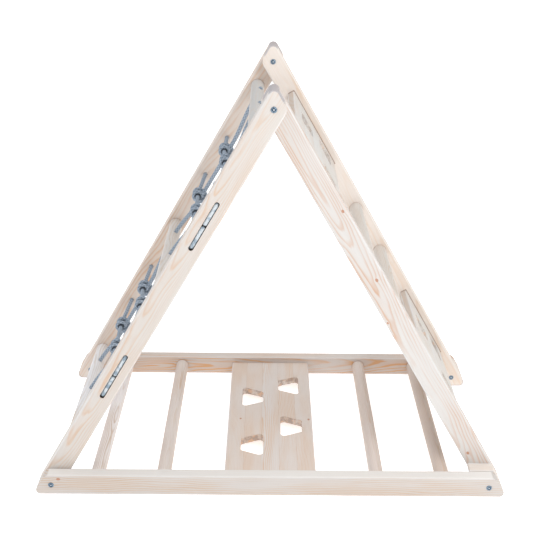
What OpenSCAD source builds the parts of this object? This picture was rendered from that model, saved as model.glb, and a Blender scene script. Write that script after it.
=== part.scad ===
// Climbing triangle for children: three timber frames of equal side, bolted at their corners.
// The base frame lies on the floor. The net frame leans on it at the left and the ladder frame at the
// right, and the two meet at the top. The rails of the three frames lie in three layers, so the frames
// pass one another when a corner is unbolted and the triangle is folded.
// X runs along the base, Y from the front to the rear, Z up. The origin is on the floor, in the middle.

/* [Triangle] */
// Length of each side, from corner bolt to corner bolt
side_l = 980; // [900:10:1200]
// Depth from the front face to the rear face
depth = 600; // [520:10:800]

/* [Rails] */
// Width of a rail, seen from the front
rail_w = 50; // [40:1:60]
// Thickness of a rail
rail_t = 30; // [24:1:36]
// Radius of the sharp corner of a rail
rail_tip_r = 12; // [8:1:18]
// Radius along the long edges of a rail
rail_edge_r = 4; // [2:0.5:6]
// Gap between the rails of two frames
layer_gap = 0.3; // [0.2:0.05:0.6]

/* [Rungs] */
// Diameter of a rung
rung_d = 32; // [26:1:34]
// Depth of the blind socket that a rung is glued into
socket_deep = 14; // [8:1:18]
// Gap all round a glued end in its socket
glue_gap = 0.1; // [0.05:0.05:0.2]

/* [Boards] */
// Width of a climbing board
board_w = 208; // [180:2:230]
// Thickness of a climbing board
board_t = 18; // [12:1:20]
// Radius along the long edges of a board
board_edge_r = 4; // [2:0.5:5]
// Depth of the blind slot that a board is glued into
slot_deep = 10; // [6:1:14]
// Width of a hand hole, across its slanted sides
hole_w = 53.5; // [44:0.5:58]
// Length of the long side of a hand hole
hole_long = 100; // [84:1:110]
// Length of the short side of a hand hole
hole_short = 51; // [40:1:60]
// Radius in the corners of a hand hole
hole_corner_r = 9; // [6:0.5:12]

/* [Net] */
// Diameter of the rope
rope_d = 9; // [7:0.5:10]
// Room round the rope in the holes and grooves of the timber
rope_room = 0.8; // [0.3:0.1:0.9]
// How far a rope end stands out of the rung
rope_end_proud = 4; // [2:0.5:8]
// Gap between two strands that lie against each other in a knot
knot_gap = 0.6; // [0.5:0.05:1]
// Length of hanging rope that leads straight into and out of a knot, from the knot's middle
knot_lead = 16; // [15:1:20]
// How deep the rope lies below the face of the rail
groove_inset = 0.75; // [0.5:0.25:1.5]
// Radius of the rope's centre line where it turns out of a groove
groove_bend_r = 6; // [5.8:0.1:7]
// Radius of the rope's centre line where it slants off
slant_bend_r = 16; // [12:1:18]
// Gap between the two ends of a cross rope
rope_ends_gap = 3; // [2:0.5:5]

/* [Fasteners] */
// Diameter of a bolt head or sleeve nut head
head_d = 13; // [12:0.5:15]
// Height of such a head
head_h = 3; // [2.5:0.5:4]
// Diameter of a bolt
bolt_d = 6; // [5:0.5:6]
// Outer diameter of a sleeve nut
sleeve_d = 9; // [8.5:0.5:10]
// How far a sleeve nut reaches into the second rail
sleeve_reach = 15; // [10:1:20]
// Wall left between a sleeve nut's bore and the socket in its head
sleeve_wall = 1; // [0.6:0.1:1.4]
// Width across the flats of the hexagon socket
key_w = 4; // [3:0.5:5]
// Depth of the hexagon socket
key_deep = 1.8; // [1.2:0.1:2]
// Radial clearance of a rail that turns on a sleeve nut
turn_clear = 0.05; // [0.03:0.01:0.09]
// Radial clearance of a bolt in its hole and in a sleeve nut
bolt_clear = 0.2; // [0.1:0.05:0.3]
// Gap under the head of a sleeve nut that a rail turns on
head_gap = 0.3; // [0.2:0.05:0.5]

/* [Hidden] */
// Angle between two frames
corner = 60;
// Where the pieces sit along a side, from its middle, as shares of the side's length
base_rung_shares = [-0.4, -0.247, 0.247, 0.4];
ladder_rung_shares = [0.067, -0.067];
ladder_board_shares = [0.307, -0.307];
net_rung_shares = [-0.4245, 0, 0.4245];
// Rope holes in the rails, for the upper and the lower cross rope
rope_hole_shares = [[-0.2704, -0.1582], [0.1388, 0.252]];
// Knots of the two outer hanging ropes, and of the middle one, on the upper and the lower cross rope
outer_knot_shares = [[-0.2658, -0.1321], [0.1608, 0.2836]];
middle_knot_shares = [[-0.2827, -0.1427], [0.1357, 0.2708]];
// Where the three hanging ropes sit across the depth, from the middle, as shares of the net's width
rope_place_shares = [-0.305, 0, 0.305];
// Hand holes: centre as shares of the board's width and of the depth, and the side that is long
hand_hole_shares = [[0.23, 0.24, 1], [-0.215, 0.14, -1], [0.25, -0.097, -1], [-0.21, -0.235, 1]];

// Facets of an arc in an outline, of a round edge, and of a round solid
arc_steps = 8;
edge_steps = 3;
round_fn = 72;
// Overrun of a cut
cut = 1;

// The corners of the triangle, seen from the front
low_z = rail_w / 2;
apex_z = low_z + side_l * sin(corner);
corner_x = side_l / 2;
mid_z = (low_z + apex_z) / 2;

// A rail's outline: the long edge faces outwards and the ends are cut along the neighbour's edge
half_long = corner_x + rail_w / 2 * tan(corner);
half_short = half_long - rail_w / tan(corner);
heel_r = rail_w / 2;

// The three layers of rails: outer face of each, from the middle of the depth
layer_step = rail_t + layer_gap;
base_face = depth / 2;
net_face = base_face - layer_step;
ladder_face = net_face - layer_step;
spacer_t = rail_t + layer_gap;

rung_r = rung_d / 2;
rope_r = rope_d / 2;
rope_sides = 8;
rope_hole_r = rope_r + rope_room;
groove_deep = rope_d + groove_inset + rope_room / 2;
rope_in_groove = net_face - groove_inset - rope_r;
net_span = 2 * (net_face - rail_t);
turn_r = rope_d + knot_gap;
knot_half = 3 * turn_r / 2 + rope_r;
turn_steps = 9;
over_steps = 3;
lead_steps = 4;
drift_steps = 2;
bend_steps = 4;
slant_steps = 2;
key_d = key_w / cos(30);

pine = [0.91, 0.84, 0.76];
pine_light = [0.93, 0.88, 0.82];
rope_blue = [0.50, 0.57, 0.64];
zinc = [0.74, 0.77, 0.80];

// Outlines with round corners
function unit(v) = v / norm(v);

function fillet(before, at, after, r, steps) =
    let (
        u = unit(before - at),
        w = unit(after - at),
        half = acos(u * w) / 2,
        centre = at + unit(u + w) * r / sin(half),
        start = at + u * r / tan(half) - centre,
        end = at + w * r / tan(half) - centre,
        from = atan2(start.y, start.x),
        sweep = (atan2(end.y, end.x) - from + 900) % 360 - 180
    )
    [for (i = [0:steps]) centre + r * [cos(from + sweep * i / steps), sin(from + sweep * i / steps)]];

function round_outline(points, radii, steps) =
    let (n = len(points))
    [for (i = [0:n - 1]) each fillet(points[(i + n - 1) % n], points[i], points[(i + 1) % n], radii[i], steps)];

function round_box(w, h, r, steps) =
    round_outline([[-w / 2, -h / 2], [w / 2, -h / 2], [w / 2, h / 2], [-w / 2, h / 2]], [r, r, r, r], steps);

// A frame's own axes: X along its side, Z inwards, and the origin in the middle of the side
module on_base() {
    translate([0, 0, low_z]) children();
}

module on_ladder() {
    translate([corner_x / 2, 0, mid_z]) rotate([0, -2 * corner, 0]) children();
}

module on_net() {
    translate([-corner_x / 2, 0, mid_z]) rotate([0, 2 * corner, 0]) children();
}

// The front piece as it is, or its mirror image at the rear
module side(rear) {
    mirror([0, rear ? 1 : 0, 0]) children();
}

// An outline in X and Z, carried along Y
module plate(points, t) {
    rotate([90, 0, 0]) linear_extrude(t, center = true) polygon(points);
}

// A cross-section in Y and Z, carried along X
module bar(points, l) {
    rotate([90, 0, 90]) linear_extrude(l, center = true) polygon(points);
}

// A round bar or hole along Y, from y0 to y1
module rod_y(r, y0, y1) {
    translate([0, y0, 0]) rotate([-90, 0, 0]) cylinder(h = y1 - y0, r = r, $fn = round_fn);
}

// Rails: a front rail in its frame's axes, with its outer face at -face
rail_outline = round_outline(
    [[-half_long, -rail_w / 2], [half_long, -rail_w / 2], [half_short, rail_w / 2], [-half_short, rail_w / 2]],
    [rail_tip_r, rail_tip_r, heel_r, heel_r], arc_steps);

module rail_blank(face) {
    translate([0, rail_t / 2 - face, 0]) intersection() {
        plate(rail_outline, rail_t);
        bar(round_box(rail_t, rail_w, rail_edge_r, edge_steps), 2 * half_long);
    }
}

// Blind sockets for the rungs, cut from the rail's inner face
module rung_sockets(face, shares) {
    for (s = shares)
        translate([s * side_l, 0, 0])
            rod_y(rung_r + glue_gap, rail_t - face - socket_deep - glue_gap, rail_t - face + cut);
}

// Blind slots for the boards, cut from the rail's inner face
module board_slots(face, shares) {
    deep = slot_deep + glue_gap;
    for (s = shares)
        translate([s * side_l, rail_t - face + (cut - deep) / 2, 0])
            plate(round_box(board_w + 2 * glue_gap, board_t + 2 * glue_gap, board_edge_r, edge_steps), deep + cut);
}

// A plain hole for a bolt right through the rail
module bolt_hole(face, end) {
    translate([end * corner_x, 0, 0]) rod_y(bolt_d / 2 + bolt_clear, -face - cut, rail_t - face + cut);
}

// The wider hole that a sleeve nut reaches into from the inner face
module sleeve_pocket(face, end) {
    translate([end * corner_x, 0, 0])
        rod_y(sleeve_d / 2 + turn_clear, rail_t - face - sleeve_reach - bolt_clear, rail_t - face + cut);
}

// The hole that turns on a sleeve nut
module sleeve_hole(face, end) {
    translate([end * corner_x, 0, 0]) rod_y(sleeve_d / 2 + turn_clear, -face - cut, rail_t - face + cut);
}

module base_rail(rear) {
    color(pine) on_base() side(rear) difference() {
        rail_blank(base_face);
        rung_sockets(base_face, base_rung_shares);
        board_slots(base_face, [0]);
        bolt_hole(base_face, -1);
        sleeve_pocket(base_face, -1);
        bolt_hole(base_face, 1);
    }
}

// The groove that a cross rope lies in, between its two holes, and those holes
module rope_groove(holes) {
    start = holes[0] * side_l;
    end = holes[1] * side_l;
    translate([(start + end) / 2, -net_face + (groove_deep - cut) / 2, 0])
        cube([end - start, groove_deep + cut, 2 * rope_hole_r], center = true);
    for (x = [start, end]) translate([x, 0, 0]) rod_y(rope_hole_r, -net_face - cut, rail_t - net_face + cut);
}

module net_rail(rear) {
    color(pine) on_net() side(rear) difference() {
        rail_blank(net_face);
        rung_sockets(net_face, net_rung_shares);
        for (holes = rope_hole_shares) rope_groove(holes);
        sleeve_hole(net_face, 1);
        bolt_hole(net_face, -1);
        sleeve_pocket(net_face, -1);
    }
}

module ladder_rail(rear) {
    color(pine) on_ladder() side(rear) difference() {
        rail_blank(ladder_face);
        rung_sockets(ladder_face, ladder_rung_shares);
        board_slots(ladder_face, ladder_board_shares);
        sleeve_hole(ladder_face, -1);
        sleeve_hole(ladder_face, 1);
    }
}

// Spacer that fills the middle layer at the right corner, where the net frame has no rail
module corner_spacer(rear) {
    slant = rail_w / tan(corner);
    long = rail_w / sin(corner);
    spacer = round_outline(
        [[half_long - long, -rail_w / 2], [half_long, -rail_w / 2],
         [half_long - slant, rail_w / 2], [half_long - slant - long, rail_w / 2]],
        [heel_r, rail_tip_r, rail_edge_r, rail_edge_r], arc_steps);
    color(pine) on_base() side(rear) difference() {
        translate([0, rail_t - base_face + spacer_t / 2, 0]) plate(spacer, spacer_t);
        translate([corner_x, 0, 0]) rod_y(bolt_d / 2 + bolt_clear, -base_face, spacer_t + rail_t - base_face + cut);
    }
}

// Rungs: round bars glued into both rails of a frame
module rung(face) {
    half = face - rail_t + socket_deep;
    rod_y(rung_r, -half, half);
}

module base_rung(i) {
    color(pine_light) on_base() translate([base_rung_shares[i] * side_l, 0, 0]) rung(base_face);
}

module ladder_rung(i) {
    color(pine_light) on_ladder() translate([ladder_rung_shares[i] * side_l, 0, 0]) rung(ladder_face);
}

module net_rung(i) {
    color(pine_light) on_net() translate([net_rung_shares[i] * side_l, 0, 0]) difference() {
        rung(net_face);
        for (s = rope_place_shares)
            translate([0, s * net_span, 0]) rotate([0, 90, 0])
                cylinder(h = rung_d + 2 * cut, r = rope_hole_r, center = true, $fn = round_fn);
    }
}

// Boards: glued-up pine with four slanted hand holes
module hand_hole(place) {
    x = hole_w / 2 * place[2];
    long = hole_long / 2;
    short = hole_short / 2;
    points = [[x, long], [-x, short], [-x, -short], [x, -long]];
    radii = [for (p = points) hole_corner_r];
    translate([place[0] * board_w, place[1] * depth, 0])
        linear_extrude(board_t + 2 * cut, center = true) polygon(round_outline(points, radii, arc_steps));
}

module board(face) {
    difference() {
        plate(round_box(board_w, board_t, board_edge_r, edge_steps), 2 * (face - rail_t + slot_deep));
        for (place = hand_hole_shares) hand_hole(place);
    }
}

module base_board() {
    color(pine_light) on_base() board(base_face);
}

module ladder_board(i) {
    color(pine_light) on_ladder() translate([ladder_board_shares[i] * side_l, 0, 0])
        rotate([0, 180, 0]) board(ladder_face);
}

// A tube of rings along a path; each ring is turned as little as possible from the one before it
function tangent(path, i) =
    unit(path[min(i + 1, len(path) - 1)] - path[max(i - 1, 0)]);

function square_to(v, along) = unit(v - (v * along) * along);

function ring(at, along, side, r) =
    let (up = cross(along, side))
    [for (j = [0:rope_sides - 1])
        at + r * (cos(360 * j / rope_sides) * side + sin(360 * j / rope_sides) * up)];

module tube(path) {
    n = len(path);
    m = rope_sides;
    sides = [for (i = 0, s = square_to([0, 0, 1], tangent(path, 0)); i < n;
        i = i + 1, s = square_to(s, tangent(path, min(i, n - 1)))) s];
    points = [for (i = [0:n - 1]) each ring(path[i], tangent(path, i), sides[i], rope_r)];
    walls = [for (i = [0:n - 2], j = [0:m - 1], half = [0:1])
        let (a = i * m + j, b = i * m + (j + 1) % m)
        half == 0 ? [a, a + m, b] : [b, a + m, b + m]];
    start = [for (j = [1:m - 2]) [0, j, j + 1]];
    end = [for (j = [1:m - 2]) (n - 1) * m * [1, 1, 1] + [0, j + 1, j]];
    polyhedron(points, concat(walls, start, end));
}

// Hanging ropes: each runs down through the three rungs, on the inner side of the cross ropes, and is
// tied to each cross rope with a clove hitch
function ease(t) = (1 - cos(180 * t)) / 2;

// A stretch from one place to another that eases sideways and inwards
function drift(from, to, steps) =
    [for (i = [0:steps]) let (t = i / steps)
        [from.x + (to.x - from.x) * t, from.y + (to.y - from.y) * ease(t), from.z + (to.z - from.z) * ease(t)]];

// A turn round the cross rope, from one angle to another: 0 is the inner side and 90 the lower side
function turn(from, to, y0, y1) =
    [for (i = [0:turn_steps]) let (t = i / turn_steps, a = from + (to - from) * t)
        [turn_r * sin(a), y0 + (y1 - y0) * t, turn_r * cos(a)]];

// The strand that crosses on top, over the rope's two ends: an arc over each and a straight between
function over(y, t0, t1, share0, share1) =
    [for (i = [0:over_steps]) let (t = i / over_steps, a = t0 + (t1 - t0) * t, s = share0 + (share1 - share0) * t)
        [turn_r * (2 * s - 1), y + turn_r * cos(a), turn_r * (1 + sin(a))]];

// The hitch at x and y: one turn, the strand that crosses on top, and another turn
function hitch(x, y) =
    let (arc_share = PI / 2 / (PI + 1))
    [for (p = concat(
        turn(0, 270, turn_r / 2, 3 * turn_r / 2),
        over(turn_r / 2, 0, 90, 0, arc_share),
        over(-turn_r / 2, 90, 180, 1 - arc_share, 1),
        turn(90, 360, -3 * turn_r / 2, -turn_r / 2)
    )) p + [x, y, 0]];

// Two hitches between two rungs, from the rung at x0 to the rung at x1
function net_bay(x0, x1, knots, y) =
    let (
        a = y + turn_r / 2,
        b = y - turn_r / 2,
        k0 = knots[0] * side_l,
        k1 = knots[1] * side_l
    )
    concat(
        drift([x0 + rung_r, y, 0], [k0 - knot_lead, a, turn_r], lead_steps),
        hitch(k0, y),
        drift([k0 + knot_lead, b, turn_r], [k1 - knot_lead, a, turn_r], drift_steps),
        hitch(k1, y),
        drift([k1 + knot_lead, b, turn_r], [x1 - rung_r, y, 0], lead_steps));

function hanging_path(y, knots) =
    let (
        top = net_rung_shares[0] * side_l,
        middle = net_rung_shares[1] * side_l,
        bottom = net_rung_shares[2] * side_l
    )
    concat(
        [[top - rung_r - rope_end_proud, y, 0]],
        net_bay(top, middle, knots[0], y),
        net_bay(middle, bottom, knots[1], y),
        [[bottom + rung_r + rope_end_proud, y, 0]]);

module net_rope(i) {
    color(rope_blue) on_net()
        tube(hanging_path(rope_place_shares[i] * net_span, i == 1 ? middle_knot_shares : outer_knot_shares));
}

// Cross ropes: each crosses the net twice and lies in a groove of the front and of the rear rail
function open_round(points, radii, steps) =
    let (n = len(points))
    concat([points[0]],
        [for (i = [1:n - 2]) each fillet(points[i - 1], points[i], points[i + 1], radii[i - 1], steps[i - 1])],
        [points[n - 1]]);

// One crossing, from the front groove to the rear groove: straight through each of its three knots
function crossing(h, outer, middle) =
    let (
        out = net_span / 2 - rope_r / 2,
        place = rope_place_shares[2] * net_span
    )
    [[h, -rope_in_groove], [h, -out],
     [outer, -place - knot_half], [outer, -place + knot_half], [middle, -knot_half],
     [middle, knot_half], [outer, place - knot_half], [outer, place + knot_half],
     [h, out], [h, rope_in_groove]];

function backwards(list) = [for (i = [len(list) - 1:-1:0]) list[i]];

function cross_path(i) =
    let (
        holes = rope_hole_shares[i] * side_l,
        outer = outer_knot_shares[i] * side_l,
        middle = middle_knot_shares[i] * side_l,
        ends = (holes[0] + holes[1]) / 2,
        corners = concat(
            [[ends - rope_ends_gap / 2, -rope_in_groove]],
            crossing(holes[0], outer[0], middle[0]),
            backwards(crossing(holes[1], outer[1], middle[1])),
            [[ends + rope_ends_gap / 2, -rope_in_groove]]),
        slants = [for (j = [2:9]) slant_bend_r],
        slant_counts = [for (r = slants) slant_steps],
        one = concat([groove_bend_r], slants, [groove_bend_r]),
        counts = concat([bend_steps], slant_counts, [bend_steps]),
        flat = open_round(corners, concat(one, one), concat(counts, counts))
    )
    [for (p = flat) [p.x, p.y, 0]];

module cross_rope(i) {
    color(rope_blue) on_net() tube(cross_path(i));
}

// The least gap of a hanging rope to itself, measured on the points of one knot and of its two ends
knot_points = concat(
    [for (i = [over_steps:-1:1]) [-turn_r * i / over_steps, turn_r / 2, turn_r]],
    hitch(0, 0),
    [for (i = [1:over_steps]) [turn_r * i / over_steps, -turn_r / 2, turn_r]]);
knot_apart = [for (i = [0:len(knot_points) - 1], j = [i + 1:len(knot_points) - 1])
    if (j - i > lead_steps) norm(knot_points[i] - knot_points[j]) - rope_d];
echo(least_gap_in_a_knot = min(knot_apart));

// Fasteners: round heads with a hexagon socket, on the axis of a corner bolt at the front
module head(up) {
    dome = [for (i = [0:arc_steps]) [head_d / 2 * cos(90 * i / arc_steps), head_h * sin(90 * i / arc_steps)]];
    rotate([up ? 90 : -90, 0, 0]) difference() {
        rotate_extrude($fn = round_fn) polygon(concat([[0, 0]], dome));
        translate([0, 0, head_h - key_deep]) cylinder(h = key_deep + cut, d = key_d, $fn = 6);
    }
}

// A bolt with its head on the face at -face, and its tip at y1
module bolt(face, y1) {
    translate([0, -face, 0]) head(true);
    rod_y(bolt_d / 2, -face, y1);
}

// A sleeve nut with its head past the face at -face, and its open end at y0
module sleeve_nut(face, y0, gap) {
    seat = gap - face;
    difference() {
        union() {
            translate([0, seat, 0]) head(false);
            rod_y(sleeve_d / 2, y0, seat);
        }
        rod_y(bolt_d / 2 + bolt_clear, y0 - cut, seat - sleeve_wall);
    }
}

module both_sides() {
    for (rear = [false, true]) side(rear) children();
}

module left_corner_bolts() {
    tip = -net_face + rail_t - sleeve_wall - 2 * bolt_clear;
    color(zinc) both_sides() translate([-corner_x, 0, low_z]) bolt(base_face, tip);
}

module left_corner_sleeve_nuts() {
    color(zinc) both_sides() translate([-corner_x, 0, low_z])
        sleeve_nut(net_face - rail_t, rail_t - base_face - sleeve_reach, head_gap);
}

module apex_bolts() {
    tip = -ladder_face + rail_t - sleeve_wall - 2 * bolt_clear;
    color(zinc) both_sides() translate([0, 0, apex_z]) bolt(net_face, tip);
}

module apex_sleeve_nuts() {
    color(zinc) both_sides() translate([0, 0, apex_z])
        sleeve_nut(ladder_face - rail_t, rail_t - net_face - sleeve_reach, head_gap);
}

// The right corner is the one that is unbolted: its bolts end in the spacers, its nuts in the ladder
module right_corner_bolts() {
    color(zinc) both_sides() translate([corner_x, 0, low_z])
        bolt(base_face, rail_t + spacer_t - base_face - layer_gap);
}

module right_corner_sleeve_nuts() {
    color(zinc) both_sides() translate([corner_x, 0, low_z])
        sleeve_nut(ladder_face - rail_t, layer_gap - ladder_face, 0);
}

base_rail(false);  // base_rail_front
base_rail(true);  // base_rail_rear
base_rung(0);  // base_rung_1
base_rung(1);  // base_rung_2
base_rung(2);  // base_rung_3
base_rung(3);  // base_rung_4
base_board();
corner_spacer(false);  // corner_spacer_front
corner_spacer(true);  // corner_spacer_rear
left_corner_bolts();
left_corner_sleeve_nuts();
right_corner_bolts();
net_rail(false);  // net_rail_front
net_rail(true);  // net_rail_rear
net_rung(0);  // net_rung_top
net_rung(1);  // net_rung_middle
net_rung(2);  // net_rung_bottom
net_rope(0);  // net_rope_1
net_rope(1);  // net_rope_2
net_rope(2);  // net_rope_3
cross_rope(0);  // upper_cross_rope
cross_rope(1);  // lower_cross_rope
apex_bolts();
apex_sleeve_nuts();
ladder_rail(false);  // ladder_rail_front
ladder_rail(true);  // ladder_rail_rear
ladder_rung(0);  // ladder_rung_upper
ladder_rung(1);  // ladder_rung_lower
ladder_board(0);  // ladder_board_upper
ladder_board(1);  // ladder_board_lower
right_corner_sleeve_nuts();
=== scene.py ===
"""Looks of the climbing triangle: pale spruce frames, a blue-grey rope net and zinc bolts. All
sizes are in metres."""

import math

import bpy
import numpy as np
from mathutils import Matrix


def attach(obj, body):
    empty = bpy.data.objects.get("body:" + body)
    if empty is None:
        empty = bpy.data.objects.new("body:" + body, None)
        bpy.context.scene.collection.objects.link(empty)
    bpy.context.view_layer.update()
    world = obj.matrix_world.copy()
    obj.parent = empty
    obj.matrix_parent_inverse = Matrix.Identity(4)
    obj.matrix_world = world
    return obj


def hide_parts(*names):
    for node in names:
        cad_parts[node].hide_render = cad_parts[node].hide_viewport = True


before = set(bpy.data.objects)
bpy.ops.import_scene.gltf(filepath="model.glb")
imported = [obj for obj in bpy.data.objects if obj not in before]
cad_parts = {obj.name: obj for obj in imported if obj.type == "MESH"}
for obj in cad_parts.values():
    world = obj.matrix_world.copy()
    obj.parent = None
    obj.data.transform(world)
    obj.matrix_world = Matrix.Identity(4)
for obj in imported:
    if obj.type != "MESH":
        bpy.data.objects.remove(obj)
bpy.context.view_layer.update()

# Camera. It stands at an adult's height in front of the base, a little left of the middle, and
# looks down by 23 degrees. Its place and its focal length were fitted to the corners and bolts.
eye = (-0.01178, -2.17751, 1.33712)
yaw, pitch, roll = 0.0037, 0.3969, 0.0092
focal_px, frame_px = 1000.84, 540


def stand(name, data, side, up, back, place):
    """A camera or lamp at a place, with its own X, Y and Z axes along side, up and back."""
    made = bpy.data.objects.new(name, data)
    made.matrix_world = Matrix([*np.column_stack([side, up, back, place]).tolist(), [0, 0, 0, 1]])
    bpy.context.scene.collection.objects.link(made)
    return made


level = np.array([math.cos(yaw), -math.sin(yaw), 0.0])
ahead = np.array([math.sin(yaw), math.cos(yaw), 0.0])
forward = math.cos(pitch) * ahead - [0.0, 0.0, math.sin(pitch)]
upright = np.cross(level, forward)
right = math.cos(roll) * level + math.sin(roll) * upright
top_way = math.cos(roll) * upright - math.sin(roll) * level
camera = bpy.data.cameras.new("camera")
camera.lens = focal_px / frame_px * camera.sensor_width
bpy.context.scene.camera = stand("camera", camera, right, top_way, -forward, eye)

# Studio light. A white room, a large softbox at the front right, a soft lamp overhead, and a cool
# one, like a window, at the left. The nearer a surface is to the softbox, the brighter it is.
white_light, room_strength, window_tone = (1.0, 1.0, 1.0, 1.0), 0.52, (0.84, 0.90, 1.0)

bpy.context.scene.view_settings.view_transform = "Standard"
room = bpy.data.worlds.new("white room")
room.use_nodes = True
room.node_tree.nodes["Background"].inputs["Color"].default_value = white_light
room.node_tree.nodes["Background"].inputs["Strength"].default_value = room_strength
bpy.context.scene.world = room


def lamp(name, kind, place, aim, strength, **settings):
    """A lamp that shines along its own -Z axis, from its place towards a point."""
    light = bpy.data.lights.new(name, kind)
    light.energy = strength
    for key, value in settings.items():
        setattr(light, key, value)
    back = np.array(place) - aim
    back = back / np.linalg.norm(back)
    side = np.cross((0.0, 1.0, 0.0), back)
    side = side / np.linalg.norm(side)
    stand(name, light, side, np.cross(back, side), back, place)


lamp("softbox", "AREA", place=(1.3, -1.5, 1.9), aim=(0.1, 0.0, 0.6), strength=25,
     shape="SQUARE", size=1.2)
lamp("top", "SUN", place=(0.2, 0.3, 3.0), aim=(0, 0, 0), strength=0.92, angle=math.radians(75))
lamp("window", "SUN", place=(-2.6, -0.7, 2.0), aim=(0, 0, 0), strength=0.95,
     angle=math.radians(50), color=window_tone)

# Floor. A seamless sheet of white studio paper that runs on far behind the object. Its fibres
# hardly show, and it glows a little, so that it comes out as white as in a photo studio.
floor_reach, floor_count = 40.0, 24
fibre_scale, fibre_detail, fibre_dark, fibre_light = 90.0, 3.0, (250, 250, 251), (254, 254, 254)
paper_glow, paper_rough, paper_gloss = 0.48, 0.9, 0.1


class Shade:
    """One socket of a material's nodes. Sums, products and powers of it add Math nodes."""

    def __init__(self, tree, socket=None):
        self.tree, self.socket = tree, socket

    def node(self, kind, settings=None, inputs=None, out=0):
        """A new node: its settings are set first, a ramp's stops too, then its sockets' values or
        links."""
        made = self.tree.nodes.new("ShaderNode" + kind)
        for key, value in (settings or {}).items():
            if key == "stops":
                while len(made.color_ramp.elements) < len(value):
                    made.color_ramp.elements.new(1.0)
                for stop, (place, tone) in zip(made.color_ramp.elements, value):
                    stop.position, stop.color = place, (tone, tone, tone, 1.0)
            else:
                setattr(made, key, value)
        for key, value in (inputs or {}).items():
            if isinstance(value, Shade):
                self.tree.links.new(value.socket, made.inputs[key])
            else:
                made.inputs[key].default_value = value
        return Shade(self.tree, made.outputs[out])

    def math(self, operation, *values):
        """A Math node that works on these values."""
        return self.node("Math", {"operation": operation}, dict(enumerate(values)))

    def __add__(self, other):
        return self.math("ADD", self, other)

    def __sub__(self, other):
        return self.math("SUBTRACT", self, other)

    def __rsub__(self, other):
        return self.math("SUBTRACT", other, self)

    def __mul__(self, other):
        return self.math("MULTIPLY", self, other)

    def __truediv__(self, other):
        return self.math("DIVIDE", self, other)

    def __rtruediv__(self, other):
        return self.math("DIVIDE", other, self)

    def __pow__(self, other):
        return self.math("POWER", self, other)

    def __abs__(self):
        return self.math("ABSOLUTE", self)

    __radd__, __rmul__ = __add__, __mul__

    def most(self, other):
        """The greater of the two."""
        return self.math("MAXIMUM", self, other)

    def least(self, other):
        """The smaller of the two."""
        return self.math("MINIMUM", self, other)

    def part(self):
        """What is left of it above a whole number."""
        return self.math("FRACT", self)

    def step(self, low, high):
        """0 below low, 1 above high and a smooth rise between; it falls where low is above high."""
        rise = self.node("MapRange", {"interpolation_type": "SMOOTHSTEP"},
                         {"Value": self, "From Min": min(low, high), "From Max": max(low, high)})
        return 1 - rise if low > high else rise

    def tint(self, plain, full):
        """The plain colour where this is 0, and the full colour where it is 1."""
        return self.node("Mix", {"data_type": "RGBA"}, {0: self, 6: plain, 7: full}, out=2)

    def to(self, shader, name):
        """Leads into the shader's socket of this name."""
        self.tree.links.new(self.socket, shader.inputs[name])


def blank(name):
    """A new material with nodes: the material itself, its shader, and a start for its Shades."""
    material = bpy.data.materials.new(name)
    material.use_nodes = True
    return material, material.node_tree.nodes["Principled BSDF"], Shade(material.node_tree)


def linear(red, green, blue):
    """A colour from its usual 0 to 255 values: v / 12.92 near black, and above that
    ((v + 0.055) / 1.055) ** 2.4."""
    v = np.array([red, green, blue]) / 255
    return (*np.where(v < 0.04045, v / 12.92, ((v + 0.055) / 1.055) ** 2.4), 1.0)


def surface(name, points, faces, uv=None):
    """A mesh object from arrays of points and of faces, with smooth shading and, if given, a UV per
    corner."""
    mesh = bpy.data.meshes.new(name)
    mesh.from_pydata(points.tolist(), [], [list(face) for face in faces])
    mesh.polygons.foreach_set("use_smooth", np.ones(len(mesh.polygons), bool))
    if uv is not None:
        mesh.uv_layers.new(name="UVMap").data.foreach_set("uv", uv.ravel())
    mesh.update()
    made = bpy.data.objects.new(name, mesh)
    bpy.context.scene.collection.objects.link(made)
    return made


def grid_faces(rows, columns, closed=False):
    """Quads between neighbours of a grid whose points are numbered row by row; closed joins the
    last column to the first."""
    i = np.arange(rows - 1)[:, None]
    j = np.arange(columns if closed else columns - 1)[None, :]
    k = (j + 1) % columns
    low, high = i * columns, (i + 1) * columns
    return np.stack([low + j, low + k, high + k, high + j], axis=-1).reshape(-1, 4)


paper, paper_shader, sheet = blank("studio paper")
paper_shader.inputs["Roughness"].default_value = paper_rough
paper_shader.inputs["Specular IOR Level"].default_value = paper_gloss
paper_shader.inputs["Emission Color"].default_value = white_light
paper_shader.inputs["Emission Strength"].default_value = paper_glow
here = sheet.node("TexCoord", out="Object")
fibre = sheet.node("TexNoise", {}, {"Vector": here, "Scale": fibre_scale, "Detail": fibre_detail})
fibre.tint(linear(*fibre_dark), linear(*fibre_light)).to(paper_shader, "Base Color")
line = np.linspace(-floor_reach, floor_reach, floor_count)
x, y = np.meshgrid(line, line)
floor = surface("floor", np.column_stack([x.ravel(), y.ravel(), np.zeros(x.size)]),
                grid_faces(floor_count, floor_count))
floor.data.materials.append(paper)

# Base rails. Two planed spruce bars, 50 x 30 mm, with rounded edges and slanted ends. They lie on
# the floor, one in front and one at the rear, and the rungs sit in blind sockets in their inner
# faces. Spruce is nearly white, with soft peach lines of late wood.
side_l, depth = 0.980, 0.600
rail_w, rail_t, edge_r = 0.050, 0.030, 0.004
rung_r = 0.016
base_rungs = (-0.4, -0.247, 0.247, 0.4)
rail_half = (rail_t / 2, rail_w / 2)
base_axes = ((1.0, 0.0, 0.0), (0.0, 1.0, 0.0), (0.0, 0.0, 1.0))
# Noises: waves to the metre along the grain and across it, an offset and, if given, the detail.
pith_noise, pith_wander = ((2.6, 9, 3.1), (3.4, 9, 8.7)), (0.026, 0.030)
ring_noise, ring_ripple = (11, 70, 1.3), 1.1
broad_noise, fine_noise = (5, 30, 5.0, 3.0), (22, 900, 0.0)
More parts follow.
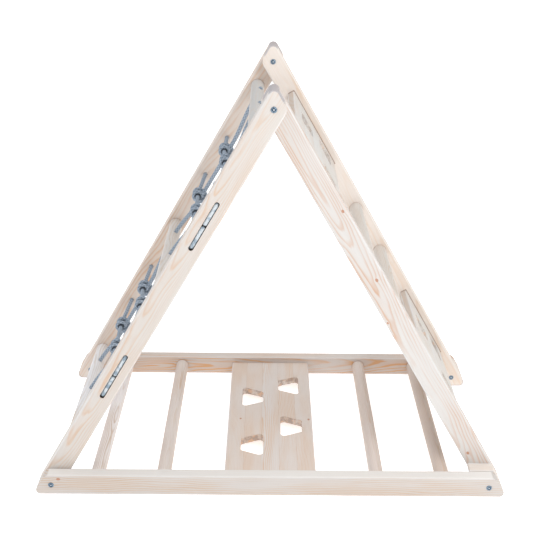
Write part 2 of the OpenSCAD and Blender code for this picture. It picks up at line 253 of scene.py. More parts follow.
# Rings: the colour's stops from one ring to the next, and how strongly the late wood shows.
ring_stops = [(0.0, 0.0), (0.45, 0.06), (0.80, 1.0), (0.96, 0.05), (1.0, 0.0)]
late_least, late_more, late_fade = 0.35, 0.95, (-0.2, 0.2)
broad_amount, all_over = 0.9, 0.04
fine_gain, fine_shade = 1.6, (0.945, 0.94, 0.935, 1.0)
# Knots: how far they push the rings out, how soon that fades, and where the brown heart ends.
knot_push, knot_fade, knot_long, heart_fade = 0.9, 0.35, 0.5, (1.3, 0.5)
# Marks: a tone, how much of it shows, and the distances between which it fades.
knot_tone, knot_amount = (176, 122, 92), 0.85
# The rounded edges get a painted highlight, pale and a little bluish.
edge_highlight_tone, edge_highlight_amount, edge_highlight_fade = (232, 233, 236), 0.25, (0.0002, 0.0018)
# The upper faces of the base rails get painted light from above, more on the front rail than the
# rear.
top_light_tone, top_light_fade = (220, 216, 211), (0.0020, 0.0006)
# A thin brown line of painted shade lies round each rung where it enters a rail.
socket_shade_tone, socket_shade_amount, socket_gap, socket_shade_fade = (150, 104, 74), 0.4, 0.0004, (0.0011, 0.0002)
face_fade = (0.003, 0.001)
wood_rough, rough_swing, wood_gloss = 0.58, 0.12, 0.3
relief_strength, relief_depth, fine_relief, late_relief = 0.25, 0.0003, 0.8, 0.5


def dress(node, material):
    """A CAD node keeps its mesh and gets this material in every slot."""
    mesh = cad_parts[node].data
    mesh.materials.clear()
    mesh.materials.append(material)


class Spruce:
    """The wood of one CAD node, in the piece's own axes: along the grain, through it and across it.
    It is grown first, then painted mark by mark, and finished last."""

    def __init__(self, name, axes, middle, half, shift):
        self.name, self.half, self.brown = name, half, None
        self.material, self.shader, self.wood = blank(name.replace("_", " "))
        here = self.wood.node("TexCoord", out="Object")
        dot = {"operation": "DOT_PRODUCT"}
        self.along, self.through, self.across = [
            self.wood.node("VectorMath", dot, {0: here, 1: axis}, "Value") - float(place)
            for axis, place in zip(axes, np.array(axes) @ np.array(middle))]
        self.run, self.row = self.along + shift, self.across

    def noise(self, stretch, spread, offset, detail=2.0):
        """Noise around zero, drawn out along the grain: stretch waves to the metre along it, and
        spread waves to the metre across it."""
        place = self.wood.node("CombineXYZ", {}, {
            0: self.run * stretch + offset, 1: self.through * spread, 2: self.row * spread})
        waves = {"Vector": place, "Scale": 1.0, "Detail": detail}
        return self.wood.node("TexNoise", {}, waves) - 0.5

    def grow(self, pith, lean, ring, white, peach, figure, knots=()):
        """The growth rings are circles round a pith line that leans and wanders, so that a flat
        face shows long arches. In each ring the colour darkens slowly and then drops back. A knot,
        given by its place along and across and its radius, bends the rings round it."""
        ring_t, ring_w = [
            off - start + self.along * slope + self.noise(*waves) * wander
            for off, start, slope, waves, wander
            in zip((self.through, self.row), pith, lean, pith_noise, pith_wander)]
        radius = (ring_t * ring_t + ring_w * ring_w) ** 0.5
        for knot_l, knot_w, knot_r in knots:
            off_l, off_w = self.along - knot_l, self.across - knot_w
            far = (off_l * off_l * knot_long + off_w * off_w) / knot_r ** 2
            radius = radius + knot_r * knot_push / (1 + far * knot_fade)
            heart = far.step(*heart_fade)
            self.brown = self.brown.most(heart) if self.brown else heart
        year = radius / ring + self.noise(*ring_noise) * ring_ripple
        late = self.wood.node("ValToRGB", {"stops": ring_stops}, {0: year.part()})
        broad, fine = self.noise(*broad_noise), self.noise(*fine_noise)
        late_amount = late_least + late_more * broad.step(*late_fade)
        strength = (late * late_amount + broad * broad_amount + all_over) * figure
        colour = strength.most(0.0).least(1.0).tint(linear(*white), linear(*peach))
        shaded = self.wood.node("Mix", {"data_type": "RGBA", "blend_type": "MULTIPLY"},
                                {0: 1.0, 6: colour, 7: fine_shade}, out=2)
        self.colour = (fine * fine_gain + 0.5).step(0.0, 1.0).tint(shaded, colour)
        (wood_rough + broad * rough_swing).to(self.shader, "Roughness")
        self.shader.inputs["Specular IOR Level"].default_value = wood_gloss
        relief = {"Strength": relief_strength, "Distance": relief_depth,
                  "Height": fine * fine_relief + late * late_relief}
        self.wood.node("Bump", {}, relief).to(self.shader, "Normal")

    def paint(self, mask, amount, tone):
        """The tone covers the colour by the amount where the mask is 1."""
        full = tone if isinstance(tone, Shade) else linear(*tone)
        self.colour = (mask * amount).tint(self.colour, full)

    def edges(self):
        """The rounded edges get a painted highlight: a little paler and bluish."""
        near_t = abs(self.through) - (self.half[0] - edge_r)
        near_w = abs(self.across) - (self.half[1] - edge_r)
        self.paint(near_t.least(near_w).step(*edge_highlight_fade), edge_highlight_amount, edge_highlight_tone)

    def inner_face(self, side):
        """1 on the face that looks to the side, which is 1 or -1 through the wood."""
        return (self.through * side).step(*[self.half[0] - fade for fade in face_fade])

    def sockets(self, places):
        """A thin brown line of painted shade round each rung, in the gap where it enters the face:
        a place is a distance along the wood, and the side of the face."""
        for place_l, side in places:
            off_l = self.along - place_l
            out = (off_l * off_l + self.across * self.across) ** 0.5
            gap_shade = abs(out - rung_r - socket_gap).step(*socket_shade_fade)
            self.paint(gap_shade * self.inner_face(side), socket_shade_amount, socket_shade_tone)

    def finish(self):
        """The knots go on last, and then the CAD node gets the material."""
        if self.brown:
            self.paint(self.brown, knot_amount, knot_tone)
        self.colour.to(self.shader, "Base Color")
        dress(self.name, self.material)


for node, y, white, peach, pith, lean, ring, shift, figure, top_light, knots in (
        ("base_rail_front", -1, (199, 193, 188), (194, 170, 148), (0.030, 0.085), (0.010, -0.006),
         0.0046, 0.0, 1.0, 0.85, ((-0.4729, 0.0155, 0.0034),)),
        ("base_rail_rear", 1, (200, 190, 183), (204, 158, 118), (-0.038, 0.006), (0.058, -0.026),
         0.0052, 2.3, 1.1, 0.35, ())):
    middle = (0.0, y * (depth - rail_t) / 2, rail_w / 2)
    rail = Spruce(node, base_axes, middle, rail_half, shift)
    rail.grow(pith, lean, ring, white, peach, figure, knots)
    rail.edges()
    # Painted light: the upper face is painted paler, as if lit from above.
    lit_top_face = rail.across.step(*[rail_w / 2 - fade for fade in top_light_fade])
    rail.paint(lit_top_face, top_light, top_light_tone)
    rail.sockets([(share * side_l, -y) for share in base_rungs])
    rail.finish()

# Spacer blocks. Two spruce blocks with slanted ends that fill the middle layer at the right corner,
# glued to the inner faces of the base rails.
for node, y in (("corner_spacer_front", -1), ("corner_spacer_rear", 1)):
    middle = (side_l / 2, y * (depth / 2 - rail_t * 1.5), rail_w / 2)
    block = Spruce(node, base_axes, middle, rail_half, 5.0 + y)
    block.grow(pith=(0.025, 0.012), lean=(0.02, 0.0), ring=0.0034, white=(221, 215, 208),
               peach=(212, 190, 172), figure=1.0)
    block.edges()
    block.finish()

# Base rungs. Four round spruce bars, 32 mm thick, glued into blind sockets in both base rails.
# Turned and sanded, they look a little greyer than the rails.
rung_axes = ((0.0, 1.0, 0.0), (1.0, 0.0, 0.0), (0.0, 0.0, 1.0))
rung_ring = 0.0030
# The rungs' tones grow darker from left to right: painted light on the left rung and painted shade
# on the right ones, which the ladder frame shades.
base_rung_light_and_shade_tones = ((234, 229, 227), (216, 206, 199), (213, 201, 193), (206, 192, 182))


def turned(name, middle, shift, pith, lean, white, peach, figure):
    """The wood of a round bar across the frame. It has no edges to paint."""
    rung = Spruce(name, rung_axes, middle, None, shift)
    rung.grow(pith, lean, rung_ring, white, peach, figure)
    rung.finish()


for number, (share, white) in enumerate(zip(base_rungs, base_rung_light_and_shade_tones), 1):
    turned(f"base_rung_{number}", (share * side_l, 0.0, rail_w / 2), shift=1.7 * number,
           pith=(0.020 - 0.004 * number, 0.024), lean=(0.006, 0.012), white=white,
           peach=(204, 180, 160), figure=0.8)

# Base board. It is glued up from spruce strips, 18 mm thick, with four slanted hand holes, and sits
# in blind slots of the base rails.
board_w, board_t, board_ring = 0.208, 0.018, 0.0030
board_half, strip_w = (board_t / 2, board_w / 2), board_w / 5
board_pith, board_lean = (0.02, 0.0), (0.008, 0.006)
strip_run, strip_swing, strip_amount = 7, 0.06, 0.3
seam_tone, seam_amount, seam_fade = (172, 146, 124), 0.45, (0.486, 0.498)
wall_noise, wall_fade, wall_tones = (14, 60, 2.2), (0.02, 0.12), ((148, 128, 118), (216, 164, 118))
sawn_noise, sawn_fade = (24, 90, 6.1), (-0.12, 0.08)
board_face_fade, board_edge_fade = (0.0002, 0.0012), (edge_r / 8, edge_r)


def glued(name, axes, middle, shift, white, peach, figure, sawn, knots=()):
    """A board of five strips. Each strip is cut from another part of the wood, and the strips meet
    in fine darker seams. The walls of the hand holes are sawn, with darker patches."""
    board = Spruce(name, axes, middle, board_half, shift)
    strip = (board.across + board_half[1]) / strip_w
    number = {"W": strip.math("FLOOR", strip) + shift}
    chance = board.wood.node("TexWhiteNoise", {"noise_dimensions": "1D"}, number)
    board.run = board.run + chance * strip_run
    board.row = board.across - chance * strip_swing + strip_swing / 2
    board.grow(board_pith, board_lean, board_ring, white, peach, figure, knots)
    board.paint(abs(strip.part() - 0.5).step(*seam_fade), seam_amount, seam_tone)
    board.paint(chance, strip_amount, peach)
    inside = (abs(board.through).step(*[board_half[0] - fade for fade in board_face_fade])
              * abs(board.across).step(*[board_half[1] - fade for fade in board_edge_fade]))
    wall = board.noise(*wall_noise).step(*wall_fade).tint(*[linear(*tone) for tone in wall_tones])
    board.paint(inside * board.noise(*sawn_noise).step(*sawn_fade), sawn, wall)
    board.edges()
    board.finish()


board_knots = ((-0.0251, -0.0733, 0.0026), (-0.0276, 0.0953, 0.0030))
glued("base_board", (base_axes[1], base_axes[2], base_axes[0]), (0.0, 0.0, rail_w / 2), shift=0.4,
      white=(214, 207, 202), peach=(208, 180, 156), figure=1.0, sawn=0.6, knots=board_knots)

# Net rails. The two rails of the left frame, with a sleeve nut hole at each end and two grooves
# each, in which the cross ropes lie. The sawn ends and rounded tips are painted greyer than the
# planed faces: partly the end grain's own tone, partly painted shade.
corner_x, low_z = side_l / 2, rail_w / 2
mid_z = low_z + side_l * math.sin(math.radians(60)) / 2
layer_gap = 0.0003
layer = rail_t + layer_gap
net_face = depth / 2 - layer
net_turn = math.radians(120)
net_rungs = (-0.4245, 0.0, 0.4245)
rope_holes = ((-0.2704, -0.1582), (0.1388, 0.252))
cut_sin, cut_cos, tip_r = math.sin(math.radians(60)), 0.5, 0.012
end_grain_and_shade_tone, end_grain_and_shade_amount, end_fade, end_start = (150, 148, 156), 0.6, (0.0030, 0.0012), (-0.004, 0.002)
# The walls of the grooves get dark brown painted shade.
groove_shade_tone, groove_shade_amount = (72, 54, 46), 0.9
groove_rim, groove_fade = (0.0064, 0.0058), (0.0004, 0.0022)


def leaning(turn):
    """The axes of a leaning frame: along its side, from front to rear, and inwards."""
    sin, cos = math.sin(turn), math.cos(turn)
    return (cos, 0.0, -sin), (0.0, 1.0, 0.0), (sin, 0.0, cos)


def sawn_ends(rail):
    """The skin of both ends, along the slanted cut and round the arc that joins it to the outer
    edge, is painted a darker lavender grey: partly the end grain's own tone, partly painted shade."""
    end_l = abs(rail.along) - side_l / 2
    cut = (end_l * cut_sin + rail.across * cut_cos).step(*[rail_w / 2 - fade for fade in end_fade])
    tip_w = tip_r - rail_w / 2
    tip_l = -(1 + cut_cos) * tip_w / cut_sin
    off_l, off_w = end_l - tip_l, rail.across - tip_w
    arc = ((off_l * off_l + off_w * off_w) ** 0.5).step(*[tip_r - fade for fade in end_fade])
    corner = rail.across.step(tip_w + tip_r / 2, tip_w + tip_r / 3)
    last = end_l.step(*[tip_l + start for start in end_start])
    rail.paint(cut.most(arc * corner) * last, end_grain_and_shade_amount, end_grain_and_shade_tone)


def grooves(rail, holes):
    """Painted shade on the walls of each groove, which runs between two rope holes; a hole is a
    share of the side."""
    for first, last in holes:
        far, half_l = rail.along - (first + last) * side_l / 2, (last - first) * side_l / 2
        beyond = abs(far).step(*[half_l + rim for rim in groove_rim])
        below = abs(rail.through).step(*[rail.half[0] - fade for fade in groove_fade])
        rail.paint(beyond * abs(rail.across).step(*groove_rim) * below, groove_shade_amount, groove_shade_tone)


net_middle, net_axes = np.array([-corner_x / 2, 0.0, mid_z]), leaning(net_turn)
for node, y, white, peach, pith, lean, ring, shift, figure in (
        ("net_rail_front", -1, (208, 202, 196), (206, 176, 150), (0.016, -0.012), (-0.024, 0.010),
         0.0028, 7.1, 0.65),
        ("net_rail_rear", 1, (214, 202, 192), (208, 176, 150), (-0.040, 0.010), (-0.040, 0.020),
         0.0060, 9.4, 0.8)):
    middle = net_middle + (0, y * (net_face - rail_t / 2), 0)
    rail = Spruce(node, net_axes, middle, rail_half, shift)
    rail.grow(pith, lean, ring, white, peach, figure)
    rail.edges()
    sawn_ends(rail)
    rail.sockets([(share * side_l, -y) for share in net_rungs])
    grooves(rail, rope_holes)
    rail.finish()

# Net rungs. Three round spruce bars between the net rails, glued into blind sockets, each bored for
# the three hanging ropes.
# The top rung is painted greyer and darker and the bottom rung paler: painted shade and painted
# light.
net_rung_light_and_shade_tones = ((192, 190, 187), (209, 204, 199), (224, 222, 222))
for name, share, white in zip(("top", "middle", "bottom"), net_rungs, net_rung_light_and_shade_tones):
    middle = net_middle + share * side_l * np.array(net_axes[0])
    turned(f"net_rung_{name}", middle, shift=11 + share * 9, pith=(0.018, -0.022),
           lean=(0.006, 0.012), white=white, peach=(198, 182, 166), figure=0.7)

# Hanging ropes. Three braided cords run down through the three rungs on the inner side of the
# cross ropes, and are tied to each cross rope with a clove hitch. They measure 9 mm, and the cord
# is shown 9.6 mm thick, so that neighbouring turns of a knot touch.
rope_d, knot_gap, knot_lead, end_proud = 0.009, 0.0006, 0.016, 0.004
rope_r = rope_d / 2
turn_r = rope_d + knot_gap
cord_r = turn_r / 2
net_span = 2 * (net_face - rail_t)
rope_places = (-0.305, 0.0, 0.305)
outer_knots = ((-0.2658, -0.1321), (0.1608, 0.2836))
middle_knots = ((-0.2827, -0.1427), (0.1357, 0.2708))
rope_sides, ring_gap, end_reach, end_round, steep = 24, 0.0012, 0.5, 0.85, 0.9
carriers, strand_l, strand_dip = 8, 0.0042, 0.38
# Noises: scale and detail.
mottle_noise, yarn_noise, lit_groove_noise = (210.0, 2.0), (1500.0, 1.0), (95.0, 3.0)
strand_and_gap_shade_tones, strand_and_gap_shade_fade = ((104, 115, 128), (162, 173, 185)), (0.15, 0.75)
mottle_tone, mottle_amount, mottle_fade = (150, 162, 175), 0.35, (0.35, 0.7)
lit_groove_tones, lit_groove_amount, lit_groove_fade = ((148, 166, 178), (222, 228, 230)), 0.7, (0.40, 0.60)
lit_groove_depth = (0.0162, 0.0102)
contact_shade_tone, contact_shade_amount, hug_reach = (44, 50, 58), 0.8, 0.75
rope_rough, rope_swing, rope_gloss = 0.72, 0.15, 0.25
rope_relief, strand_height, yarn_height = 0.8, 0.0005, 0.15


def drift(start, end, count=40):
    """A stretch that runs evenly along x, while y and z ease from start to end as
    (1 - cos(180 t)) / 2."""
    t = np.linspace(0, 1, count)[:, None]
    share = np.hstack([t, (1 - np.cos(np.pi * t)) / 2, (1 - np.cos(np.pi * t)) / 2])
    return np.array(start) + (np.array(end) - start) * share


def turn(first, last, y0, y1, count=60):
    """A turn round the cross rope at the origin: (r sin a, y, r cos a) as the angle a runs from
    first to last."""
    t = np.linspace(0, 1, count)
    a = np.radians(first + (last - first) * t)
    return np.column_stack([turn_r * np.sin(a), y0 + (y1 - y0) * t, turn_r * np.cos(a)])


def over(y, first, last, share0, share1, count=24):
    """The strand that crosses on top: an arc (y + r cos a, r + r sin a), while x moves across the
    knot."""
    t = np.linspace(0, 1, count)
    a = np.radians(first + (last - first) * t)
    x = turn_r * (2 * (share0 + (share1 - share0) * t) - 1)
    return np.column_stack([x, y + turn_r * np.cos(a), turn_r * (1 + np.sin(a))])


def hitch(x, y):
    """A clove hitch: three quarters of a turn from the inner side, the strand that crosses on top,
    and three quarters more. The crossing strand is two quarter arcs, joined by a straight step."""
    arc = math.pi / 2 / (math.pi + 1)
    return np.vstack([turn(0, 270, turn_r / 2, 1.5 * turn_r), over(turn_r / 2, 0, 90, 0, arc),
                      over(-turn_r / 2, 90, 180, 1 - arc, 1),
                      turn(90, 360, -1.5 * turn_r, -turn_r / 2)]) + [x, y, 0]


def net_bay(x0, x1, knots, y):
    """Two hitches between two rungs, joined by drifts."""
    a, b = y + turn_r / 2, y - turn_r / 2
    k0, k1 = knots[0] * side_l, knots[1] * side_l
    return [drift((x0 + rung_r, y, 0), (k0 - knot_lead, a, turn_r)), hitch(k0, y),
            drift((k0 + knot_lead, b, turn_r), (k1 - knot_lead, a, turn_r)), hitch(k1, y),
            drift((k1 + knot_lead, b, turn_r), (x1 - rung_r, y, 0))]


def even(path, spacing, soften=0.0014, apart=1e-7):
    """The path at even spacing, softened by a bell curve along its length; its ends stay, and
    points less than apart from the last are dropped. With it come the distances along it."""
    gone = np.r_[0, np.cumsum(np.linalg.norm(np.diff(path, axis=0), axis=1))]
    keep = np.r_[True, np.diff(gone) > apart]
    gone, path = gone[keep], path[keep]
    s = np.linspace(0, gone[-1], int(gone[-1] / spacing) + 1)
    line = np.column_stack([np.interp(s, gone, path[:, axis]) for axis in range(3)])
    reach = int(3 * soften / spacing)
    bell = np.exp(-0.5 * (np.arange(-reach, reach + 1) * spacing / soften) ** 2)
    before, after = 2 * line[0] - line[reach:0:-1], 2 * line[-1] - line[-2:-reach - 2:-1]
    padded = np.vstack([before, line, after])
    soft = [np.convolve(padded[:, axis], bell / bell.sum(), "valid") for axis in range(3)]
    return np.column_stack(soft), s


def cord(name, path, hugged):
    """A braided cord along a path in the net's axes: each ring of points stands square to the path
    and is turned as little as possible from the one before. Both ends are rounded off as
    r * sqrt(1 - end_round * t ** 2). U runs along it in metres and V once round it. The attribute
    "hug" is 1 where the cord lies tight against another strand, and falls to 0 away from it."""
    line, s = even(path, ring_gap)
    ahead = np.gradient(line, axis=0)
    ahead /= np.linalg.norm(ahead, axis=1)[:, None]
    side = np.empty_like(ahead)
    last = np.array([0.0, 0.0, 1.0]) if abs(ahead[0, 2]) < steep else np.array([1.0, 0.0, 0.0])
    for i, direction in enumerate(ahead):
        last = last - last.dot(direction) * direction
        last /= np.linalg.norm(last)
        side[i] = last
    up = np.cross(ahead, side)
    a = np.linspace(0, 2 * np.pi, rope_sides, endpoint=False)[None, :, None]
    short = np.clip(1 - np.minimum(s, s[-1] - s) / (end_reach * cord_r), 0, 1)
    thick = (cord_r * np.sqrt(1 - end_round * short ** 2))[:, None, None]
    rings = line[:, None] + thick * (np.cos(a) * side[:, None] + np.sin(a) * up[:, None])
    points = np.vstack([rings.reshape(-1, 3), line[0], line[-1]])
    j = np.arange(rope_sides)
    k = (j + 1) % rope_sides
    first, end = len(points) - 2, (len(line) - 1) * rope_sides
    start_cap = np.column_stack([np.full(rope_sides, first), k, j])
    end_cap = np.column_stack([np.full(rope_sides, first + 1), end + j, end + k])
    near, far, v0, v1 = np.broadcast_arrays(s[:-1, None], s[1:, None], j / rope_sides,
                                            (j + 1) / rope_sides)
    uv = np.stack([np.stack(pair, -1) for pair in ((near, v0), (near, v1), (far, v1), (far, v0))],
                  axis=2)
    made = surface(name, net_middle + points @ np.array(net_axes),
                   [*grid_faces(len(line), rope_sides, closed=True), *start_cap, *end_cap],
                   np.vstack([uv.reshape(-1, 2), np.zeros((rope_sides * 6, 2))]))
    # The hug attribute masks the painted shade between the turns of a knot.
    made.data.attributes.new("hug", "FLOAT", "POINT").data.foreach_set("value", hugged(points))
    return made, s[-1]


def round_axis(points, x, y, clear):
    """Nearness to a cross rope inside a knot: 1 up to clear from its axis, 0 a third of a turn
    further out, and only within the knot's own length."""
    out = np.hypot(points[:, 0] - x, points[:, 2])
    return np.clip(1 - (out - clear) / (turn_r / 3), 0, 1) * (np.abs(points[:, 1] - y) < 2 * turn_r)


def braid(name):
    """A braid of eight strands each way: two families of slanting strands that pass over and under
    each other. A strand is a half wave across its width, and stands out where it passes over; the
    gaps between strands get painted shade. In the grooves the rope gets painted light, paler in
    patches, and between the turns of a knot it gets dark painted shade."""
    material, shader, weave = blank(name)
    here, uv = weave.node("TexCoord", out="Object"), weave.node("TexCoord", out="UV")
    u = weave.node("SeparateXYZ", {}, {0: uv}, out=0) / strand_l
    v = weave.node("SeparateXYZ", {}, {0: uv}, out=1) * carriers
    one, two = v + u, v - u
    bulge = []
    for strand, other in ((one, two), (two, one)):
        across, along = strand * math.pi, other * math.pi
        above = 1 - strand_dip + strand_dip * along.math("COSINE", along)
        bulge.append(abs(across.math("SINE", across)) * above)
    height = bulge[0].most(bulge[1])
    mottle, yarn, patch = [
        weave.node("TexNoise", {}, {"Vector": here, "Scale": scale, "Detail": detail})
        for scale, detail in (mottle_noise, yarn_noise, lit_groove_noise)]
    outward = abs(weave.node("SeparateXYZ", {}, {0: here}, out=1))
    in_groove = outward.step(*[net_face - deep for deep in lit_groove_depth])
    lit_groove = patch.step(*lit_groove_fade).tint(*[linear(*tone) for tone in lit_groove_tones])
    hug = weave.node("Attribute", {"attribute_name": "hug"}, out="Fac")
    # The gaps between the raised strands get painted shade.
    colour = height.step(*strand_and_gap_shade_fade).tint(*[linear(*tone) for tone in strand_and_gap_shade_tones])
    colour = (mottle.step(*mottle_fade) * mottle_amount).tint(colour, linear(*mottle_tone))
    # Painted light: the rope in the grooves is painted paler, in patches.
    colour = (in_groove * lit_groove_amount).tint(colour, lit_groove)
    # Painted shade where the cord lies tight against another strand in a knot.
    colour = (hug * contact_shade_amount).tint(colour, linear(*contact_shade_tone))
    colour.to(shader, "Base Color")
    (rope_rough + mottle * rope_swing).to(shader, "Roughness")
    shader.inputs["Specular IOR Level"].default_value = rope_gloss
    relief = {"Strength": rope_relief, "Distance": strand_height,
              "Height": height + yarn * yarn_height}
    weave.node("Bump", {}, relief).to(shader, "Normal")
    return material


rope_finish = braid("blue grey braid")
top, middle, bottom = [share * side_l for share in net_rungs]
rope_knots = (outer_knots, middle_knots, outer_knots)
for number, (place, knots) in enumerate(zip(rope_places, rope_knots), 1):
    y = place * net_span
    start, end = (top - rung_r - end_proud, y, 0), (bottom + rung_r + end_proud, y, 0)
    route = np.vstack([[start], *net_bay(top, middle, knots[0], y),
                       *net_bay(middle, bottom, knots[1], y), [end]])
    rope, rope_length = cord(f"hanging_rope_{number}", route, lambda points: np.max(
        [round_axis(points, share * side_l, y, turn_r - cord_r * hug_reach)
         for pair in knots for share in pair], axis=0))
    rope.data.materials.append(rope_finish)
    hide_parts(f"net_rope_{number}")
    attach(rope, "net_frame")
    print(rope.name, "is", round(rope_length, 3), "m long")

# Cross ropes. Two more cords of the same braid. Each leaves the front groove, crosses the net
# through three hitches, lies in the rear groove, and comes back, so that its ends meet in the front
# groove.
groove_deep = 0.00075
in_groove_y = net_face - groove_deep - rope_r
knot_half = 1.5 * turn_r + rope_r
groove_bend, slant_bend, ends_gap, hug_fade = 0.006, 0.016, 0.003, 0.003


def fillet(before, at, after, r, count=9, straight=1e-4):
    """The arc of radius r that rounds the corner at a point between its two neighbours. A corner
    that is straight stays a point."""
    before, at, after = np.array(before), np.array(at), np.array(after)
    u, w = before - at, after - at
    u, w = u / np.linalg.norm(u), w / np.linalg.norm(w)
    half = math.acos(max(-1.0, min(1.0, float(u @ w)))) / 2
    if half > math.pi / 2 - straight:
        return at[None, :]
    middle = at + (u + w) / np.linalg.norm(u + w) * r / math.sin(half)
    start, end = at + u * r / math.tan(half) - middle, at + w * r / math.tan(half) - middle
    first = math.atan2(start[1], start[0])
    sweep = (math.atan2(end[1], end[0]) - first + 5 * math.pi) % (2 * math.pi) - math.pi
    a = first + sweep * np.linspace(0, 1, count)
    return middle + r * np.column_stack([np.cos(a), np.sin(a)])


def crossing(hole, outer, inner):
    """The corners of one way across the net, from the front groove to the rear one."""
    out, place = net_span / 2 - rope_r / 2, rope_places[2] * net_span
    return [(hole, -in_groove_y), (hole, -out),
            (outer, -place - knot_half), (outer, -place + knot_half),
            (inner, -knot_half), (inner, knot_half),
            (outer, place - knot_half), (outer, place + knot_half),
            (hole, out), (hole, in_groove_y)]


for name, holes, outer, inner in (("upper", rope_holes[0], outer_knots[0], middle_knots[0]),
                                  ("lower", rope_holes[1], outer_knots[1], middle_knots[1])):
    ways = [crossing(*[share * side_l for share in shares]) for shares in zip(holes, outer, inner)]
    ends = sum(holes) / 2 * side_l
    corners = [(ends - ends_gap / 2, -in_groove_y), *ways[0], *ways[1][::-1],
               (ends + ends_gap / 2, -in_groove_y)]
    bends = [groove_bend, *[slant_bend] * 8, groove_bend] * 2
    rounded = [fillet(*corners[i:i + 3], bend) for i, bend in enumerate(bends)]
    flat = np.vstack([[corners[0]], *rounded, [corners[-1]]])
    knots = [(share * side_l, place * net_span) for way in range(2)
             for share, place in zip((outer[way], inner[way], outer[way]), rope_places)]
    route = np.column_stack([flat, np.zeros(len(flat))])
    rope, rope_length = cord(f"{name}_cross_cord", route, lambda points: np.max(
        [np.clip(1 - (np.abs(points[:, 1] - y) - knot_half) / hug_fade, 0, 1)
         * (np.abs(points[:, 0] - x) < turn_r) for x, y in knots], axis=0))
    rope.data.materials.append(rope_finish)
    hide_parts(f"{name}_cross_rope")
    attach(rope, "net_frame")
    print(rope.name, "is", round(rope_length, 3), "m long")

# Ladder rails. The two rails of the right frame, innermost of the three layers, with a hole for a
# sleeve nut at each end. The boards enter them through slots, whose outer gap gets a dark line of
# painted shadow along one side.
ladder_face = net_face - layer
ladder_turn = math.radians(-120)
ladder_rungs, ladder_boards = (0.067, -0.067), (0.307, -0.307)
ladder_knots = ((0.2299, -0.0157, 0.0030), (0.0587, -0.006, 0.0033), (-0.0424, 0.0194, 0.0022),
                (-0.4242, 0.0096, 0.0031))
slot_shadow_tone, slot_shadow_amount, slot_shadow_fade, slot_shadow_side = (122, 84, 60), 0.7, (0.0022, 0.0012), (0.007, 0.004)


def slots(rail, places):
    """A dark line of painted shadow round each board, along one side of it only: a place is a
    distance along the wood, and the side of the face."""
    for place_l, side in places:
        off_l = abs(rail.along - place_l) - board_w / 2
        off_w = abs(rail.across) - board_t / 2
        slot_shadow_mask = off_l.most(off_w).step(*slot_shadow_fade) * rail.across.step(*slot_shadow_side)
        rail.paint(slot_shadow_mask * rail.inner_face(side), slot_shadow_amount, slot_shadow_tone)


ladder_middle, ladder_axes = np.array([corner_x / 2, 0.0, mid_z]), leaning(ladder_turn)
for node, y, white, peach, pith, lean, ring, shift, figure, knots in (
        ("ladder_rail_front", -1, (208, 204, 200), (198, 164, 140), (0.006, 0.010), (0.034, 0.018),
         0.0040, 13.6, 0.78, ladder_knots),
        ("ladder_rail_rear", 1, (222, 212, 203), (217, 192, 168), (-0.034, -0.016), (0.016, 0.010),
         0.0050, 15.2, 0.5, ())):
    middle = ladder_middle + (0, y * (ladder_face - rail_t / 2), 0)
    rail = Spruce(node, ladder_axes, middle, rail_half, shift)
    rail.grow(pith, lean, ring, white, peach, figure, knots)
    rail.edges()
    sawn_ends(rail)
    rail.sockets([(share * side_l, -y) for share in ladder_rungs])
    slots(rail, [(share * side_l, -y) for share in ladder_boards])
    rail.finish()

# Ladder rungs. Two round spruce bars in the middle of the ladder, between the boards, glued into
# blind sockets in both ladder rails.
for name, share in zip(("upper", "lower"), ladder_rungs):
    middle = ladder_middle + share * side_l * np.array(ladder_axes[0])
    turned(f"ladder_rung_{name}", middle, shift=17 + share * 20, pith=(0.016, 0.025),
           lean=(0.006, -0.012), white=(209, 203, 196), peach=(200, 180, 160), figure=0.7)

# Ladder boards. Two boards like the base board, above and below the ladder rungs, with their hand
# holes the other way round.
for name, share in zip(("upper", "lower"), ladder_boards):
    middle = ladder_middle + share * side_l * np.array(ladder_axes[0])
    glued(f"ladder_board_{name}", (ladder_axes[1], ladder_axes[2], ladder_axes[0]), middle,
          shift=21 + share * 5, white=(207, 206, 203), peach=(204, 186, 170), figure=0.7, sawn=0.4)

# Bolts and sleeve nuts. Zinc-plated steel with domed heads, 13 mm across, and a hexagon socket.
# Each pair joins two rails at a corner of the triangle.
head_r, socket_r = 0.0065, 0.0024
haze_scale, haze_detail, haze_fade = 420.0, 3.0, (0.3, 0.7)
haze_tones = ((92, 112, 130), (152, 170, 184))
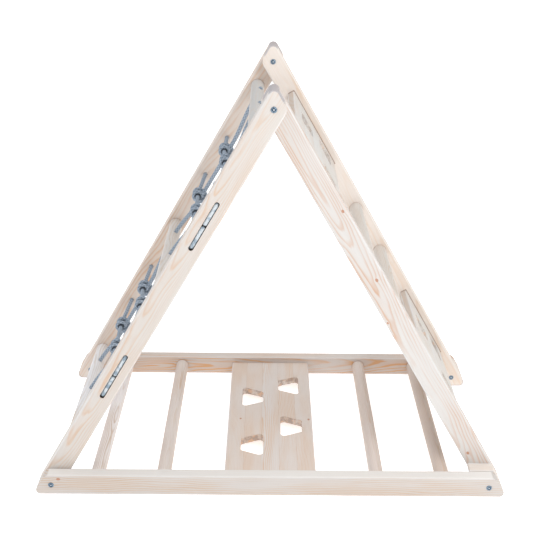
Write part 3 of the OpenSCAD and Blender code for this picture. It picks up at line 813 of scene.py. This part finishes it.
# Painted shade in the socket's four lobes and at the rim, and a painted highlight in its middle.
lobe_shade_tone, lobe_least, lobe_inner, lobe_outer = (22, 36, 52), 0.35, (0.75, 1.05), (0.72, 0.5)
socket_highlight_tone, socket_highlight_amount, socket_highlight_fade = (236, 242, 247), 0.9, (0.7, 0.4)
rim_shade_tone, rim_shade_amount, rim_shade_fade = (84, 100, 116), 0.5, (0.86, 1.0)
zinc_rough, zinc_swing, zinc_relief, zinc_depth = 0.26, 0.22, 0.15, 0.0002


def zinc(name, axis_x, axis_z):
    """Bright zinc with a fine haze. Its colour follows the distance from the bolt's axis: a painted
    highlight in the middle of the socket, painted shade in four lobes round it, and darker painted
    shade again at the rim."""
    material, shader, plate = blank(name)
    shader.inputs["Metallic"].default_value = 1.0
    here = plate.node("TexCoord", out="Object")
    dx = plate.node("SeparateXYZ", {}, {0: here}, out=0) - axis_x
    dz = plate.node("SeparateXYZ", {}, {0: here}, out=2) - axis_z
    out = (dx * dx + dz * dz) ** 0.5
    haze = plate.node("TexNoise", {}, {"Vector": here, "Scale": haze_scale, "Detail": haze_detail})
    lobes = (dx * dx - dz * dz) / (out * out)
    ring = (out.step(*[socket_r * share for share in lobe_inner])
            * out.step(*[head_r * share for share in lobe_outer]))
    bright = out.step(*[socket_r * share for share in socket_highlight_fade])
    rim = out.step(*[head_r * share for share in rim_shade_fade])
    colour = haze.step(*haze_fade).tint(*[linear(*tone) for tone in haze_tones])
    dark = ring * (lobe_least + (1 - lobe_least) * lobes * lobes)
    colour = dark.tint(colour, linear(*lobe_shade_tone))
    colour = (bright * socket_highlight_amount).tint(colour, linear(*socket_highlight_tone))
    colour = (rim * rim_shade_amount).tint(colour, linear(*rim_shade_tone))
    colour.to(shader, "Base Color")
    (zinc_rough + haze * zinc_swing).to(shader, "Roughness")
    relief = {"Strength": zinc_relief, "Distance": zinc_depth, "Height": haze}
    plate.node("Bump", {}, relief).to(shader, "Normal")
    return material


for corner, axis_x, axis_z in (("left_corner", -corner_x, low_z), ("right_corner", corner_x, low_z),
                               ("apex", 0.0, 2 * mid_z - low_z)):
    metal = zinc(corner.replace("_", " ") + " zinc", axis_x, axis_z)
    dress(f"{corner}_bolts", metal)
    dress(f"{corner}_sleeve_nuts", metal)
